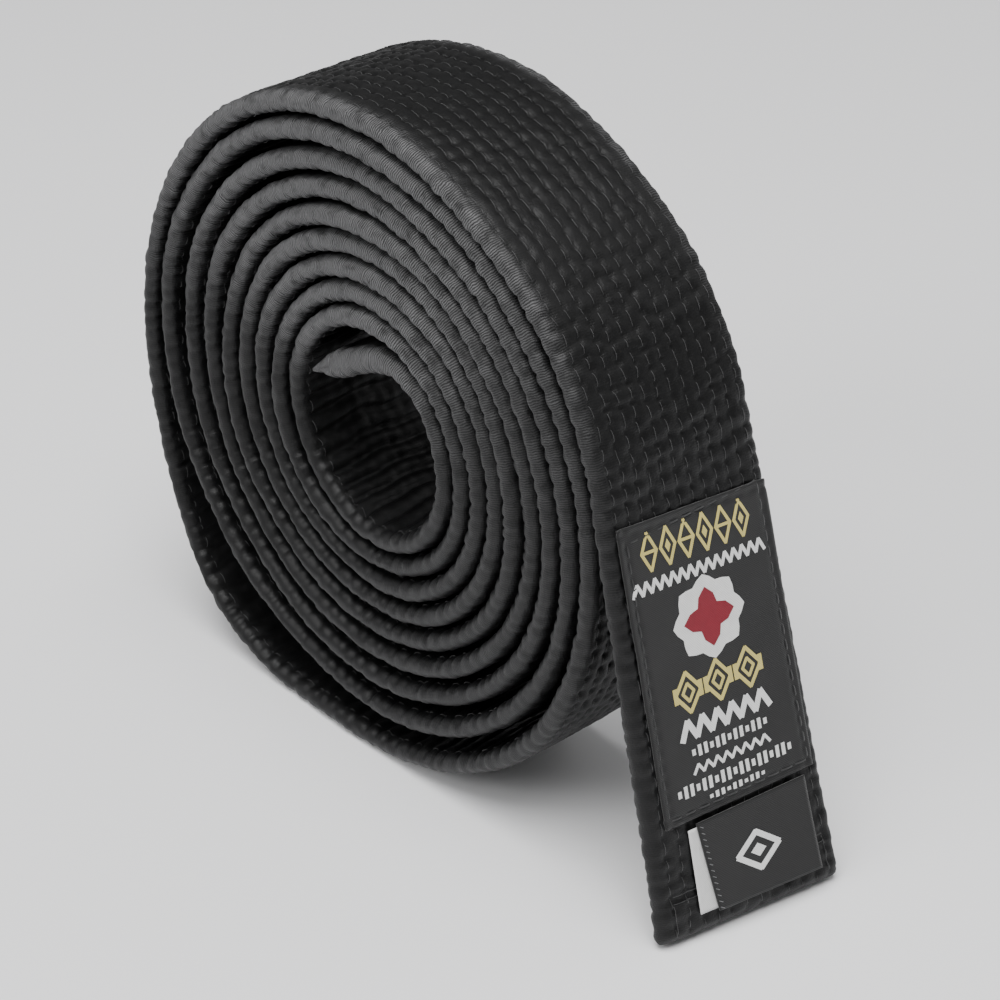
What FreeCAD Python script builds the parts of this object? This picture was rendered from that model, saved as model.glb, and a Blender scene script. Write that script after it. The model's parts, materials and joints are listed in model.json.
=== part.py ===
import FreeCAD, Part
import Sketcher
import math
import os

# A quilted satin martial arts belt, wound into a standing roll.
# The roll's axis lies along Y. Its flat foot stands on the plane Z = 0, about the origin.
# The labelled end leaves the roll at the lift line and leans down to the floor on the +X side.
# The plain end is the short tongue in the eye of the roll.
# The belt's middle line is a chain of tangent arcs and straight runs in the XZ plane.

Vector = FreeCAD.Vector

# ---------------------------------------------------------------- driving sizes, in mm and degrees
SIZES = [
    ("belt_width", 40.0, "width of the belt over its rounded edges"),
    ("belt_thick", 4.6, "thickness of the belt over the cover"),
    ("cover_thick", 0.5, "wall of the folded satin cover"),
    ("ply_gap", 0.05, "air between one layer of the core and the next"),
    ("edge_gap", 0.45, "air between the side of a core layer and the cover"),
    ("thread_thick", 0.12, "thickness of a lockstitch row in the middle of the core"),
    ("thread_wide", 0.5, "width of a lockstitch row"),
    ("row_pitch", 3.1, "distance from one lengthwise stitch row to the next"),
    ("wrap_gap", 0.15, "air between turns where the roll is tight"),
    ("eye_reach", 22.2, "roll axis to the innermost turn's inner face, on the tight side"),
    ("eye_loose_reach", 17.0, "the same on the loose side"),
    ("tight_angle", 35.0, "direction of the tight side, from +X towards +Z"),
    ("loose_gap", 3.0, "extra air under the outermost full turn on the loose side"),
    ("loose_fade", 0.6, "share of that air that each turn further in keeps"),
    ("even_gap", 0.4, "extra air under every turn on the loose side"),
    ("lift_angle", 15.0, "direction in which the labelled end leaves the roll"),
    ("lift_slack", 0.45, "air under the outermost turn at the lift line"),
    ("top_slack", 0.55, "how much flatter the outermost turn runs over the top"),
    ("side_start", 160.0, "where the slack side of the outermost turn starts"),
    ("corner_start", 205.0, "where the slack corner of the outermost turn starts"),
    ("corner_radius", 40.0, "radius of the slack corner"),
    ("foot_length", 20.0, "flat stretch that the roll stands on"),
    ("hinge_gap", 0.7, "air between a free end and the turn that it bends from"),
    ("tip_gap", 0.3, "air between the labelled end and the floor"),
    ("tongue_radius", 14.0, "bend of the plain end into the eye"),
    ("tongue_angle", 116.0, "direction that the plain end faces"),
    ("tongue_length", 18.5, "straight part of the plain end"),
    ("label_wide", 34.0, "woven label, across the belt"),
    ("label_long", 60.0, "woven label, along the belt"),
    ("label_thick", 0.4, "woven label with its folded edges"),
    ("label_top", 8.5, "lift line to the label's upper edge"),
    ("label_side", 1.2, "how far the label sits off the middle of the belt"),
    ("label_margin", 1.5, "label's edge to its border of stitches"),
    ("stitch_long", 2.6, "one visible stitch"),
    ("stitch_space", 0.7, "space from one visible stitch to the next"),
    ("stitch_wide", 0.35, "width of a visible stitch"),
    ("stitch_thick", 0.15, "how far a visible stitch stands proud"),
    ("tag_wide", 23.0, "size tag, across the belt"),
    ("tag_long", 19.5, "size tag, along the belt"),
    ("tag_thick", 0.3, "size tag, a folded ribbon"),
    ("tag_side", 3.2, "how far the size tag sits off the middle of the belt"),
    ("care_wide", 22.0, "care tag, across the belt"),
    ("care_long", 18.0, "care tag, along the belt"),
    ("care_thick", 0.2, "care tag, a single ribbon"),
    ("care_side", -0.9, "how far the care tag sits off the middle of the belt"),
    ("flap_gap", 0.4, "air under each tag"),
    ("tag_drop", 1.0, "label's lower edge to the size tag's bend"),
    ("care_drop", 1.0, "size tag's bend to the care tag's bend"),
    ("hem_back", 9.5, "tip of the labelled end to its cross seam"),
    ("hem_side", 3.0, "edge of the belt to the side seams of the hem"),
    ("inner_hem_back", 4.0, "tip of the plain end to its cross seam"),
    ("seam_space", 1.6, "space between the two lines of a cross seam"),
]
FULL_TURNS = 8
PLIES = 4
ROWS = 12

doc = FreeCAD.newDocument("belt")
sheet = doc.addObject("Spreadsheet::Sheet", "sizes")
size = {}


def put(line, alias, value, note):
    """Write one size into the sheet and remember it."""
    sheet.set("A%d" % line, alias)
    sheet.set("B%d" % line, repr(value))
    sheet.set("C%d" % line, note)
    sheet.setAlias("B%d" % line, alias)
    size[alias] = value


for index, (alias, value, note) in enumerate(SIZES):
    put(index + 1, alias, value, note)
doc.recompute()

half = size["belt_thick"] / 2
pitch = size["belt_thick"] + size["wrap_gap"]


# ---------------------------------------------------------------- the belt's middle line
def facing(angle):
    """Unit vector in the XZ plane, at an angle from +X towards +Z."""
    return Vector(math.cos(math.radians(angle)), 0, math.sin(math.radians(angle)))


def sweep_step(start, end):
    """Travel of a unit arc's end point as its normal turns from start to end."""
    return facing(end) - facing(start)


class Arc:
    """A bend of the middle line: its normal turns from start to end about centre."""

    def __init__(self, centre, radius, start, end):
        self.centre = centre
        self.radius = radius
        self.start = start
        self.end = end
        self.length = radius * math.radians(end - start)

    def at(self, share, offset):
        """Point at a share of the bend, offset outwards from the middle line."""
        angle = self.start + share * (self.end - self.start)
        return self.centre + facing(angle) * (self.radius + offset)

    def edge(self, offset):
        """The bend as an edge, offset outwards from the middle line."""
        first, middle, last = (self.at(share, offset) for share in (0, 0.5, 1))
        return Part.Arc(first, middle, last).toShape()


class Run:
    """A straight stretch of the middle line, with its normal at one angle."""

    def __init__(self, first, angle, length):
        self.first = first
        self.angle = angle
        self.length = length

    def at(self, share, offset):
        """Point at a share of the run, offset outwards from the middle line."""
        along = facing(self.angle + 90) * (self.length * share)
        return self.first + along + facing(self.angle) * offset

    def edge(self, offset):
        """The run as an edge, offset outwards from the middle line."""
        return Part.LineSegment(self.at(0, offset), self.at(1, offset)).toShape()


def chain(point, steps):
    """Tangent pieces one after another: (radius, start, end) bends and (length, angle) runs."""
    pieces = []
    for step in steps:
        if len(step) == 3:
            radius, start, end = step
            piece = Arc(point - facing(start) * radius, radius, start, end)
        else:
            length, angle = step
            piece = Run(point, angle, length)
        pieces.append(piece)
        point = piece.at(1, 0)
    return pieces


def solve_pair(column_a, column_b, target):
    """Two radii whose arc steps add up to the target."""
    det = column_a.x * column_b.z - column_b.x * column_a.z
    first = (target.x * column_b.z - column_b.x * target.z) / det
    second = (column_a.x * target.z - target.x * column_a.z) / det
    return first, second


def inner_turns():
    """Half turns from the second turn inwards, as (radius, start, end)."""
    tight = size["tight_angle"]
    near = size["eye_reach"] + half + FULL_TURNS * pitch
    far = size["eye_loose_reach"] + half + loose_total(FULL_TURNS - 1)
    steps = []
    for turn in range(FULL_TURNS):
        steps.append(((near + far) / 2, tight, tight + 180))
        near = near - pitch
        steps.append(((near + far) / 2, tight + 180, tight + 360))
        far = far - pitch - loose_air(turn)
    return steps


def loose_air(turn):
    """Extra air under a full turn on the loose side, counted from the outside."""
    return size["loose_gap"] * size["loose_fade"] ** turn + size["even_gap"]


def loose_total(turns):
    """Reach that a number of full turns adds on the loose side."""
    return sum(pitch + loose_air(turn) for turn in range(turns))


def outer_turn(axis):
    """The slack outermost turn, closed onto the second turn by its two solved radii."""
    lift, tight = size["lift_angle"], size["tight_angle"]
    side, corner = size["side_start"], size["corner_start"]
    second_reach = size["eye_reach"] + half + FULL_TURNS * pitch
    start = axis + facing(lift) * (second_reach + pitch + size["lift_slack"])
    finish = axis + facing(tight) * second_reach
    top = second_reach + pitch + size["top_slack"]
    known = sweep_step(lift, side) * top
    known = known + sweep_step(corner, 270) * size["corner_radius"]
    known = known + Vector(size["foot_length"], 0, 0)
    side_radius, rise_radius = solve_pair(
        sweep_step(side, corner), sweep_step(270, tight + 360), finish - start - known)
    steps = [
        (top, lift, side),
        (side_radius, side, corner),
        (size["corner_radius"], corner, 270),
        (size["foot_length"], 270),
        (rise_radius, 270, tight + 360),
    ]
    return start, steps


def middle_line():
    """The wound part of the belt, set down with the middle of its foot at the origin."""
    start, steps = outer_turn(Vector(0, 0, 0))
    tongue = (size["tongue_radius"], size["tight_angle"], size["tongue_angle"])
    steps = steps + inner_turns() + [tongue]
    foot = chain(start, steps)[3]
    middle = foot.at(0.5, 0)
    return chain(start - middle + Vector(0, 0, half), steps)


WOUND = middle_line()
LIFT_POINT = WOUND[0].at(0, 0)
TONGUE_POINT = WOUND[-1].at(1, 0)


def shorten(pieces, cut):
    """The same chain with both its ends cut back along the line."""
    first, last = pieces[0], pieces[-1]
    start = first.start + math.degrees(cut / first.radius)
    end = last.end - math.degrees(cut / last.radius)
    head = Arc(first.centre, first.radius, start, first.end)
    tail = Arc(last.centre, last.radius, last.start, end)
    return [head] + pieces[1:-1] + [tail]


ROLL_LINE = shorten(WOUND, half + size["hinge_gap"])

# The labelled end reaches down to just above the floor.
lean = math.radians(size["lift_angle"])
tail_length = (LIFT_POINT.z - half * math.sin(lean) - size["tip_gap"]) / math.cos(lean)
put(len(SIZES) + 1, "tail_length", tail_length, "lift line to the tip of the labelled end")
cavity_half = half - size["cover_thick"]
ply_thick = (2 * cavity_half - (PLIES + 1) * size["ply_gap"]) / PLIES
put(len(SIZES) + 2, "ply_thick", ply_thick, "one layer of the cotton core")
doc.recompute()


# ---------------------------------------------------------------- solids along the middle line
def add(label, shape, placement=None):
    """Put a finished shape into the document under its own name."""
    item = doc.addObject("Part::Feature", label)
    item.Label = label
    item.Shape = shape
    if placement:
        item.Placement = placement
    return item


def band(pieces, low, high, side, width):
    """A flat ribbon wound along the line: low to high across it, width along Y."""
    edges = [piece.edge(high) for piece in pieces]
    edges.append(Part.makeLine(pieces[-1].at(1, high), pieces[-1].at(1, low)))
    edges += [piece.edge(low) for piece in reversed(pieces)]
    edges.append(Part.makeLine(pieces[0].at(0, low), pieces[0].at(0, high)))
    wires = Part.Wire(Part.__sortEdges__(edges))
    face = Part.Face(wires)
    face.translate(Vector(0, side - width / 2, 0))
    return face.extrude(Vector(0, width, 0))


def rounded_section(point, out, reach, radius):
    """A belt's cross section: flat faces and round edges, reach to each side along Y."""
    flat = reach - radius
    side = Vector(0, flat, 0)
    edge = Vector(0, reach, 0)
    upper_a, upper_b = point - side + out * radius, point + side + out * radius
    lower_a, lower_b = point - side - out * radius, point + side - out * radius
    return Part.Wire([
        Part.makeLine(upper_a, upper_b),
        Part.Arc(upper_b, point + edge, lower_b).toShape(),
        Part.makeLine(lower_b, lower_a),
        Part.Arc(lower_a, point - edge, upper_a).toShape(),
    ])


def faceted_section(point, out, reach, radius):
    """The wound cover's cross section, with four straight facets on each round edge."""
    flat = reach - radius
    corners = []
    for side in (1, -1):
        for step in range(5):
            turn = math.radians(side * (90 - 45 * step))
            across = Vector(0, side * (flat + radius * math.cos(turn)), 0)
            corners.append(point + across + out * (radius * math.sin(turn)))
    return Part.makePolygon(corners + corners[:1])


def swept(path, section):
    """A solid swept along the line, its section always upright to the line and to Y."""
    pipe = Part.BRepOffsetAPI.MakePipeShell(path)
    pipe.setBiNormalMode(Vector(0, 1, 0))
    pipe.add(section)
    pipe.build()
    pipe.makeSolid()
    return pipe.shape()


def wound_tube(pieces, outer_reach, outer_half, inner_reach, inner_half):
    """A hollow cover swept along the line, open at both ends."""
    path = Part.Wire([piece.edge(0) for piece in pieces])
    start = pieces[0]
    out = (start.at(0, 1) - start.at(0, 0)).normalize()
    skin = swept(path, faceted_section(start.at(0, 0), out, outer_reach, outer_half))
    hollow = swept(path, faceted_section(start.at(0, 0), out, inner_reach, inner_half))
    return skin.cut(hollow).Solids[0]


half_width = size["belt_width"] / 2
cavity_reach = half_width - size["cover_thick"]


def ply_levels(index):
    """Lower and upper face of one core layer, measured from the middle line."""
    low = -cavity_half + size["ply_gap"] + index * (ply_thick + size["ply_gap"])
    return low, low + ply_thick


def ply_half_width(index):
    """Half the width of a core layer, trimmed to the rounded edge of the cover."""
    far = max(abs(level) for level in ply_levels(index))
    round_room = math.sqrt(cavity_half ** 2 - far ** 2)
    return cavity_reach - cavity_half + round_room - size["edge_gap"]


for index in range(PLIES):
    put(len(SIZES) + 3 + index, "ply_width_%d" % (index + 1), 2 * ply_half_width(index),
        "width of core layer %d" % (index + 1))
doc.recompute()


def row_places():
    """Where the lengthwise stitch rows run across the belt."""
    return [(index - (ROWS - 1) / 2) * size["row_pitch"] for index in range(ROWS)]


# The cover is one long tube of satin; it is drawn here as three stretches, end to end.
COVER_STRETCHES = (
    ("outer_turn", ROLL_LINE[:5]),
    ("inner_turns", ROLL_LINE[5:-3]),
    ("eye_turn", ROLL_LINE[-3:]),
)


def add_roll():
    """The wound part: cover, core layers and the stitch rows that hold them."""
    for name, pieces in COVER_STRETCHES:
        cover = wound_tube(pieces, half_width, half, cavity_reach, cavity_half)
        add("roll_cover_" + name, cover)
    for index in range(PLIES):
        low, high = ply_levels(index)
        add("roll_core_layer_%d" % (index + 1),
            band(ROLL_LINE, low, high, 0, 2 * ply_half_width(index)))
    # The rows lie in the air between the two middle layers, where their threads lock.
    lock = size["ply_gap"] * 0.3
    rows = [band(ROLL_LINE, -lock, lock, place, size["thread_wide"]) for place in row_places()]
    add("roll_stitch_rows", Part.makeCompound(rows))


# ---------------------------------------------------------------- the two free ends
def turned(point, angle):
    """A frame at a point: X along a free end, Z square to it, Y as the roll's axis."""
    return FreeCAD.Placement(point, FreeCAD.Rotation(Vector(0, 1, 0), angle))


TAIL = turned(LIFT_POINT, 90 - size["lift_angle"])
TONGUE = turned(TONGUE_POINT, -(size["tongue_angle"] + 90))


def capsule(reach, radius):
    """The round root of a free end, about the line that it bends on."""
    flat = reach - radius
    barrel = Part.makeCylinder(radius, 2 * flat, Vector(0, -flat, 0), Vector(0, 1, 0))
    balls = [Part.makeSphere(radius, Vector(0, side * flat, 0)) for side in (-1, 1)]
    return barrel.multiFuse(balls).removeSplitter()


def flat_cover(length):
    """The cover of a straight free end: round at its root and sewn shut at its tip."""
    along = Vector(1, 0, 0)
    skin = Part.Face(rounded_section(Vector(0, 0, 0), Vector(0, 0, 1), half_width, half))
    skin = skin.extrude(along * length).fuse(capsule(half_width, half)).removeSplitter()
    room = rounded_section(Vector(0, 0, 0), Vector(0, 0, 1), cavity_reach, cavity_half)
    room = Part.Face(room).extrude(along * (length - size["cover_thick"]))
    return skin.cut(room)


def add_bar(label, frame, start, side, level, lengths):
    """A plain box in a free end's frame, its three lengths bound to formulas of the sheet."""
    box = doc.addObject("Part::Box", label)
    box.Label = label
    for name, formula in zip(("Length", "Width", "Height"), lengths):
        box.setExpression(name, formula)
    doc.recompute()
    corner = Vector(start, side - box.Width.Value / 2, level)
    box.Placement = frame * FreeCAD.Placement(corner, FreeCAD.Rotation())
    return box


def add_core(prefix, frame, length_name):
    """The core layers of a free end, cut to stop short of the sewn tip."""
    for index in range(PLIES):
        low = ply_levels(index)[0]
        width_name = "ply_width_%d" % (index + 1)
        lengths = ("sizes.%s - sizes.cover_thick - 2 * sizes.edge_gap" % length_name,
                   "sizes.%s" % width_name, "sizes.ply_thick")
        add_bar("%s_core_layer_%d" % (prefix, index + 1), frame, size["edge_gap"], 0, low, lengths)


def stitch_bars(count, start, side, level, step, turn=0):
    """A line of visible stitches, each a small flat bar, in a free end's frame."""
    bars = []
    for index in range(count):
        bar = Part.makeBox(size["stitch_long"], size["stitch_wide"], size["stitch_thick"],
                           Vector(-size["stitch_long"] / 2, -size["stitch_wide"] / 2, 0))
        bar.rotate(Vector(0, 0, 0), Vector(0, 0, 1), turn)
        bar.translate(Vector(start, side, level) + step * index)
        bars.append(bar)
    return bars


stitch_pitch = size["stitch_long"] + size["stitch_space"]


def line_of_stitches(first, last, level):
    """Stitches spread evenly from one point to another, with their ends inside both."""
    travel = last - first
    count = max(1, int((travel.Length + size["stitch_space"]) / stitch_pitch))
    turn = math.degrees(math.atan2(travel.y, travel.x))
    step = travel * (1.0 / count)
    start = first + step * 0.5
    return stitch_bars(count, start.x, start.y, level, step, turn)


def cross_seam(place, level):
    """Two lines of stitches across the belt, as wide as its flat faces allow."""
    reach = half_width - half - size["stitch_space"]
    bars = []
    for line in (-0.5, 0.5):
        across = place + line * size["seam_space"]
        bars += line_of_stitches(Vector(across, -reach, 0), Vector(across, reach, 0), level)
    return bars


def add_rows(label, frame, length):
    """The lengthwise stitch rows of a free end, locked between its middle layers."""
    lock = size["ply_gap"] * 0.3
    run = length - size["cover_thick"] - 2 * size["edge_gap"]
    rows = []
    for place in row_places():
        corner = Vector(size["edge_gap"], place - size["thread_wide"] / 2, -lock)
        rows.append(Part.makeBox(run, size["thread_wide"], 2 * lock, corner))
    add(label, Part.makeCompound(rows), frame)


def add_free_end():
    """The labelled end that leans down from the roll to the floor."""
    add("tail_cover", flat_cover(tail_length), TAIL)
    add_core("tail", TAIL, "tail_length")
    add_rows("tail_stitch_rows", TAIL, tail_length)
    hem = tail_length - size["hem_back"]
    bars = cross_seam(hem, half)
    reach = half_width - half - size["hem_side"] / 2
    for side in (-reach, reach):
        bars += line_of_stitches(Vector(hem + size["seam_space"], side, 0),
                                 Vector(tail_length - size["stitch_space"], side, 0), half)
    add("tail_end_seam", Part.makeCompound(bars), TAIL)


def add_inner_end():
    """The plain end, which stands free in the eye of the roll."""
    length = size["tongue_length"]
    add("inner_end_cover", flat_cover(length), TONGUE)
    add_core("inner_end", TONGUE, "tongue_length")
    add_rows("inner_end_stitch_rows", TONGUE, length)
    add("inner_end_seam", Part.makeCompound(cross_seam(length - size["inner_hem_back"], half)),
        TONGUE)


# ---------------------------------------------------------------- label and tags
LABEL_END = size["label_top"] + size["label_long"]
TAG_BEND = LABEL_END + size["tag_drop"]
CARE_BEND = TAG_BEND + size["care_drop"]
CARE_LEVEL = half + size["flap_gap"]
TAG_LEVEL = CARE_LEVEL + size["care_thick"] + size["flap_gap"]


def add_ribbon(label, start, side, level, names):
    """A woven ribbon as a sketched and padded plate, its sizes bound to the sheet."""
    long_name, wide_name, thick_name = ("sizes." + name for name in names)
    body = doc.addObject("PartDesign::Body", label)
    body.Label = label
    outline = body.newObject("Sketcher::SketchObject", label + "_outline")
    plane = next(item for item in body.Origin.OriginFeatures if item.Role == "XY_Plane")
    outline.AttachmentSupport = (plane, [""])
    outline.MapMode = "FlatFace"
    draw_rectangle(outline, size[names[0]], size[names[1]])
    outline.setExpression("Constraints.run", long_name)
    outline.setExpression("Constraints.across", wide_name)
    pad = body.newObject("PartDesign::Pad", label + "_cloth")
    pad.Profile = outline
    pad.setExpression("Length", thick_name)
    body.Placement = TAIL * FreeCAD.Placement(Vector(start, side, level), FreeCAD.Rotation())


def draw_rectangle(outline, run, across):
    """A rectangle that starts on the sketch's Y axis and is centred on its X axis."""
    corners = [Vector(0, -across / 2, 0), Vector(run, -across / 2, 0),
               Vector(run, across / 2, 0), Vector(0, across / 2, 0)]
    for index in range(4):
        outline.addGeometry(Part.LineSegment(corners[index], corners[(index + 1) % 4]))
    for index in range(4):
        outline.addConstraint(Sketcher.Constraint("Coincident", index, 2, (index + 1) % 4, 1))
    for index, kind in enumerate(("Horizontal", "Vertical", "Horizontal")):
        outline.addConstraint(Sketcher.Constraint(kind, index))
    outline.addConstraint(Sketcher.Constraint("PointOnObject", 0, 1, -2))
    outline.addConstraint(Sketcher.Constraint("Symmetric", 0, 1, 3, 1, -1))
    outline.addConstraint(Sketcher.Constraint("DistanceX", 0, 1, 0, 2, run))
    outline.renameConstraint(outline.ConstraintCount - 1, "run")
    outline.addConstraint(Sketcher.Constraint("DistanceY", 1, 1, 1, 2, across))
    outline.renameConstraint(outline.ConstraintCount - 1, "across")


def add_label():
    """The woven label with the line of stitches that runs round inside its edge."""
    add_ribbon("woven_label", size["label_top"], size["label_side"], half,
               ("label_long", "label_wide", "label_thick"))
    level = half + size["label_thick"]
    margin = size["label_margin"]
    near = size["label_side"] - size["label_wide"] / 2 + margin
    far = size["label_side"] + size["label_wide"] / 2 - margin
    top, low = size["label_top"] + margin, LABEL_END - margin
    corners = [Vector(top, near, 0), Vector(low, near, 0), Vector(low, far, 0),
               Vector(top, far, 0)]
    bars = []
    for index in range(4):
        bars += line_of_stitches(corners[index], corners[(index + 1) % 4], level)
    add("label_border_stitches", Part.makeCompound(bars), TAIL)


def add_tags():
    """The size tag over the care tag, each sewn in along its upper edge."""
    add_ribbon("care_tag", CARE_BEND, size["care_side"], CARE_LEVEL,
               ("care_long", "care_wide", "care_thick"))
    add_ribbon("size_tag", TAG_BEND, size["tag_side"], TAG_LEVEL,
               ("tag_long", "tag_wide", "tag_thick"))


add_roll()
add_free_end()
add_inner_end()
add_label()
add_tags()
doc.recompute()


# ---------------------------------------------------------------- checks, then the files
def sub_parts():
    """Every object that is a piece of the belt; sketches and features stay inside theirs."""
    kinds = ("Part::Feature", "Part::Box", "PartDesign::Body")
    return [item for item in doc.Objects if item.TypeId in kinds]


def check_document():
    """Stop when an object failed to build or a piece has no valid shape."""
    for item in doc.Objects:
        if "Invalid" in item.State or "Error" in item.State:
            raise RuntimeError("%s did not build" % item.Label)
    for item in sub_parts():
        if item.Shape.isNull() or not item.Shape.isValid():
            raise RuntimeError("%s has no valid shape" % item.Label)


check_document()
os.makedirs("parts", exist_ok=True)
for item in sub_parts():
    item.Shape.exportStep("parts/%s.step" % item.Label)
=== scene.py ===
"""A black quilted satin martial arts belt, wound into a standing roll."""

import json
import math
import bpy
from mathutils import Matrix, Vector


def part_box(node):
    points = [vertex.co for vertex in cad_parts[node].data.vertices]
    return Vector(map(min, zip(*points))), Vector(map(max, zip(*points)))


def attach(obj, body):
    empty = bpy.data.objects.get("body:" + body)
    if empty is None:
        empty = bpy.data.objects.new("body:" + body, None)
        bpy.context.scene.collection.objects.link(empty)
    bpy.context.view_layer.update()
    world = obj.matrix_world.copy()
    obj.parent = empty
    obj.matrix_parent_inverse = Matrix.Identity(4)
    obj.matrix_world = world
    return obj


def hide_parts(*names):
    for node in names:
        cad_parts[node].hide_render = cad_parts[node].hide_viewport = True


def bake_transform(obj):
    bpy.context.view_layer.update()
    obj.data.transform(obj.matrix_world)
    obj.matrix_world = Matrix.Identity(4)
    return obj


bl_info = {
    "name": "Quilted Martial Arts Belt",
    "version": (1, 0, 0),
    "blender": (4, 5, 0),
    "location": "View3D > Sidebar > Belt",
    "description": "A wound satin belt with its quilting, threads, woven label and tags",
    "category": "Add Mesh",
}

import bmesh
import bpy
import numpy as np
from bpy.props import FloatProperty, FloatVectorProperty, IntProperty, PointerProperty
from mathutils import Matrix, Vector

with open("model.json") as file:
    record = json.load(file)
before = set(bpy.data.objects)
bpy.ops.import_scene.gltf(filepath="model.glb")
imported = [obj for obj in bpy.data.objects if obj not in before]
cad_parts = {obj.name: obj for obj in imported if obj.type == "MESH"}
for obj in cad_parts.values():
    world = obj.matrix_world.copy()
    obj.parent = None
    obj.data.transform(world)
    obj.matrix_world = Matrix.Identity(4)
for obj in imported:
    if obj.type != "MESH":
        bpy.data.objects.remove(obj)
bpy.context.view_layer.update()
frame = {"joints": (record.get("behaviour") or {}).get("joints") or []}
JOINTS = {joint["name"]: joint for joint in frame["joints"]}
LIFT_POINT = Vector(JOINTS["free_end_lift"]["pos_m"])
MM = 0.001


# ------------------------------------------------------------------ sizes and colours
def length(name, description, default):
    """A length in metres, given here in millimetres."""
    return FloatProperty(name=name, description=description, default=default * MM,
                         unit="LENGTH", precision=5)


def angle(name, description, default):
    """An angle, given here in degrees."""
    return FloatProperty(name=name, description=description, default=math.radians(default),
                         subtype="ANGLE")


def colour(name, description, default):
    """A linear colour."""
    return FloatVectorProperty(name=name, description=description, default=default,
                               subtype="COLOR", size=3, min=0.0, max=1.0)


class BeltRollSizes(bpy.types.PropertyGroup):
    """How the belt's middle line is wound."""

    width: length("Width", "Belt width over its rounded edges", 40.0)
    thick: length("Thickness", "Belt thickness over the cover", 4.6)
    wrap_gap: length("Wrap gap", "Air between turns where the roll is tight", 0.15)
    eye_reach: length("Eye reach", "Axis to the innermost turn on the tight side", 24.5)
    eye_loose_reach: length("Loose reach", "Axis to the innermost turn, loose side", 19.3)
    tight_angle: angle("Tight side", "Direction of the tight side", 35.0)
    loose_gap: length("Loose gap", "Extra air under the outermost full turn", 3.0)
    loose_fade: FloatProperty(name="Fade", description="Share of the extra air kept per turn",
                              default=0.6)
    even_gap: length("Even gap", "Extra air under every turn on the loose side", 0.4)
    full_turns: IntProperty(name="Turns", description="Full turns under the outermost", default=8)
    lift_angle: angle("Lift angle", "Direction in which the labelled end leaves", 15.0)
    lift_slack: length("Lift slack", "Air under the outermost turn at the lift line", 0.45)
    top_slack: length("Top slack", "How much flatter the outermost turn runs on top", 0.55)
    side_start: angle("Side start", "Where the slack side starts", 160.0)
    corner_start: angle("Corner start", "Where the slack corner starts", 205.0)
    corner_radius: length("Corner radius", "Radius of the slack corner", 40.0)
    foot_length: length("Foot", "Flat stretch that the roll stands on", 20.0)
    tongue_radius: length("Tongue bend", "Bend of the plain end into the eye", 14.0)
    tongue_angle: angle("Tongue angle", "Direction that the plain end faces", 116.0)
    tongue_length: length("Tongue", "Straight part of the plain end", 18.5)
    twist: length("Twist", "How far the labelled end's corners turn out at its tip", 4.0)
    sway: length("Sway", "How far single turns stand out of the roll's flat side", 0.55)


class BeltQuiltSizes(bpy.types.PropertyGroup):
    """The stitch rows and the relief that they pull into the satin."""

    rows: IntProperty(name="Rows", description="Lengthwise stitch rows", default=12)
    row_pitch: length("Row pitch", "From one stitch row to the next", 3.1)
    row_sway: length("Row sway", "How far a row wanders sideways", 0.32)
    row_depth: length("Row depth", "How deep a row lies", 0.26)
    row_wide: length("Row width", "Width of a row's valley", 0.55)
    stitch: length("Stitch", "From one needle hole to the next", 3.3)
    hole_depth: length("Hole depth", "Extra depth at a needle hole", 0.3)
    puff: length("Puff", "Depth of the creases between the puffs", 0.17)
    fold: length("Fold", "Spacing of the cross folds", 4.4)
    fold_depth: length("Fold depth", "Depth of the cross folds on the outer face", 0.20)
    inner_fold_depth: length("Inner folds", "Depth of the cross folds on the inner face", 1.25)
    edge_pinch: length("Edge pinch", "How deep each stitch pinches the rounded edge", 0.44)
    edge_lump: length("Edge lumps", "Unevenness of the rounded edge", 0.28)
    crumple: length("Crumple", "Small unevenness of the satin between the stitches", 0.13)
    under_pucker: length("Pucker", "Folds on the concave side of the rounded edge", 0.5)
    end_seam: length("End seam", "How deep the seam in the plain end's edges lies", 0.5)
    end_swell: FloatProperty(name="End swell", default=0.30,
                             description="How much thicker the loose plain end is, as a share")
    hem_depth: length("Hem depth", "How deep the cross seam of the labelled end lies", 0.4)
    thread: length("Thread", "Radius of the sewing thread", 0.075)
    tail_spread: FloatProperty(name="Tail spread", default=0.035,
                               description="How much wider the labelled end lies, as a share")


class BeltLabelSizes(bpy.types.PropertyGroup):
    """The woven label and the tags under it."""

    top: length("Top", "Lift line to the label's upper edge", 9.0)
    long: length("Label length", "Label along the belt", 59.5)
    wide: length("Label width", "Label across the belt", 35.0)
    side: length("Label side", "How far the label sits off the middle", 0.5)
    tilt: length("Label tilt", "How far the label's upper corners are turned", 1.9)
    flare: FloatProperty(name="Label flare", default=0.06,
                         description="How much wider the label is at its top, as a share")
    thick: length("Label thickness", "Label with its folded edges", 0.4)
    margin: length("Margin", "Label's edge to its border of stitches", 1.5)
    figure: length("Figure relief", "How far the woven figures stand up", 0.07)
    tag_long: length("Tag length", "Size tag along the belt", 19.5)
    tag_wide: length("Tag width", "Size tag across the belt", 23.0)
    tag_thick: length("Tag thickness", "Size tag", 0.3)
    tag_side: length("Tag side", "How far the size tag sits off the middle", 3.2)
    care_long: length("Care length", "Care tag along the belt", 18.0)
    care_wide: length("Care width", "Care tag across the belt", 22.0)
    care_thick: length("Care thickness", "Care tag", 0.2)
    care_side: length("Care side", "How far the care tag sits off the middle", -0.9)
    hem_back: length("Hem", "Tip of the labelled end to its cross seam", 9.5)


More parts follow.
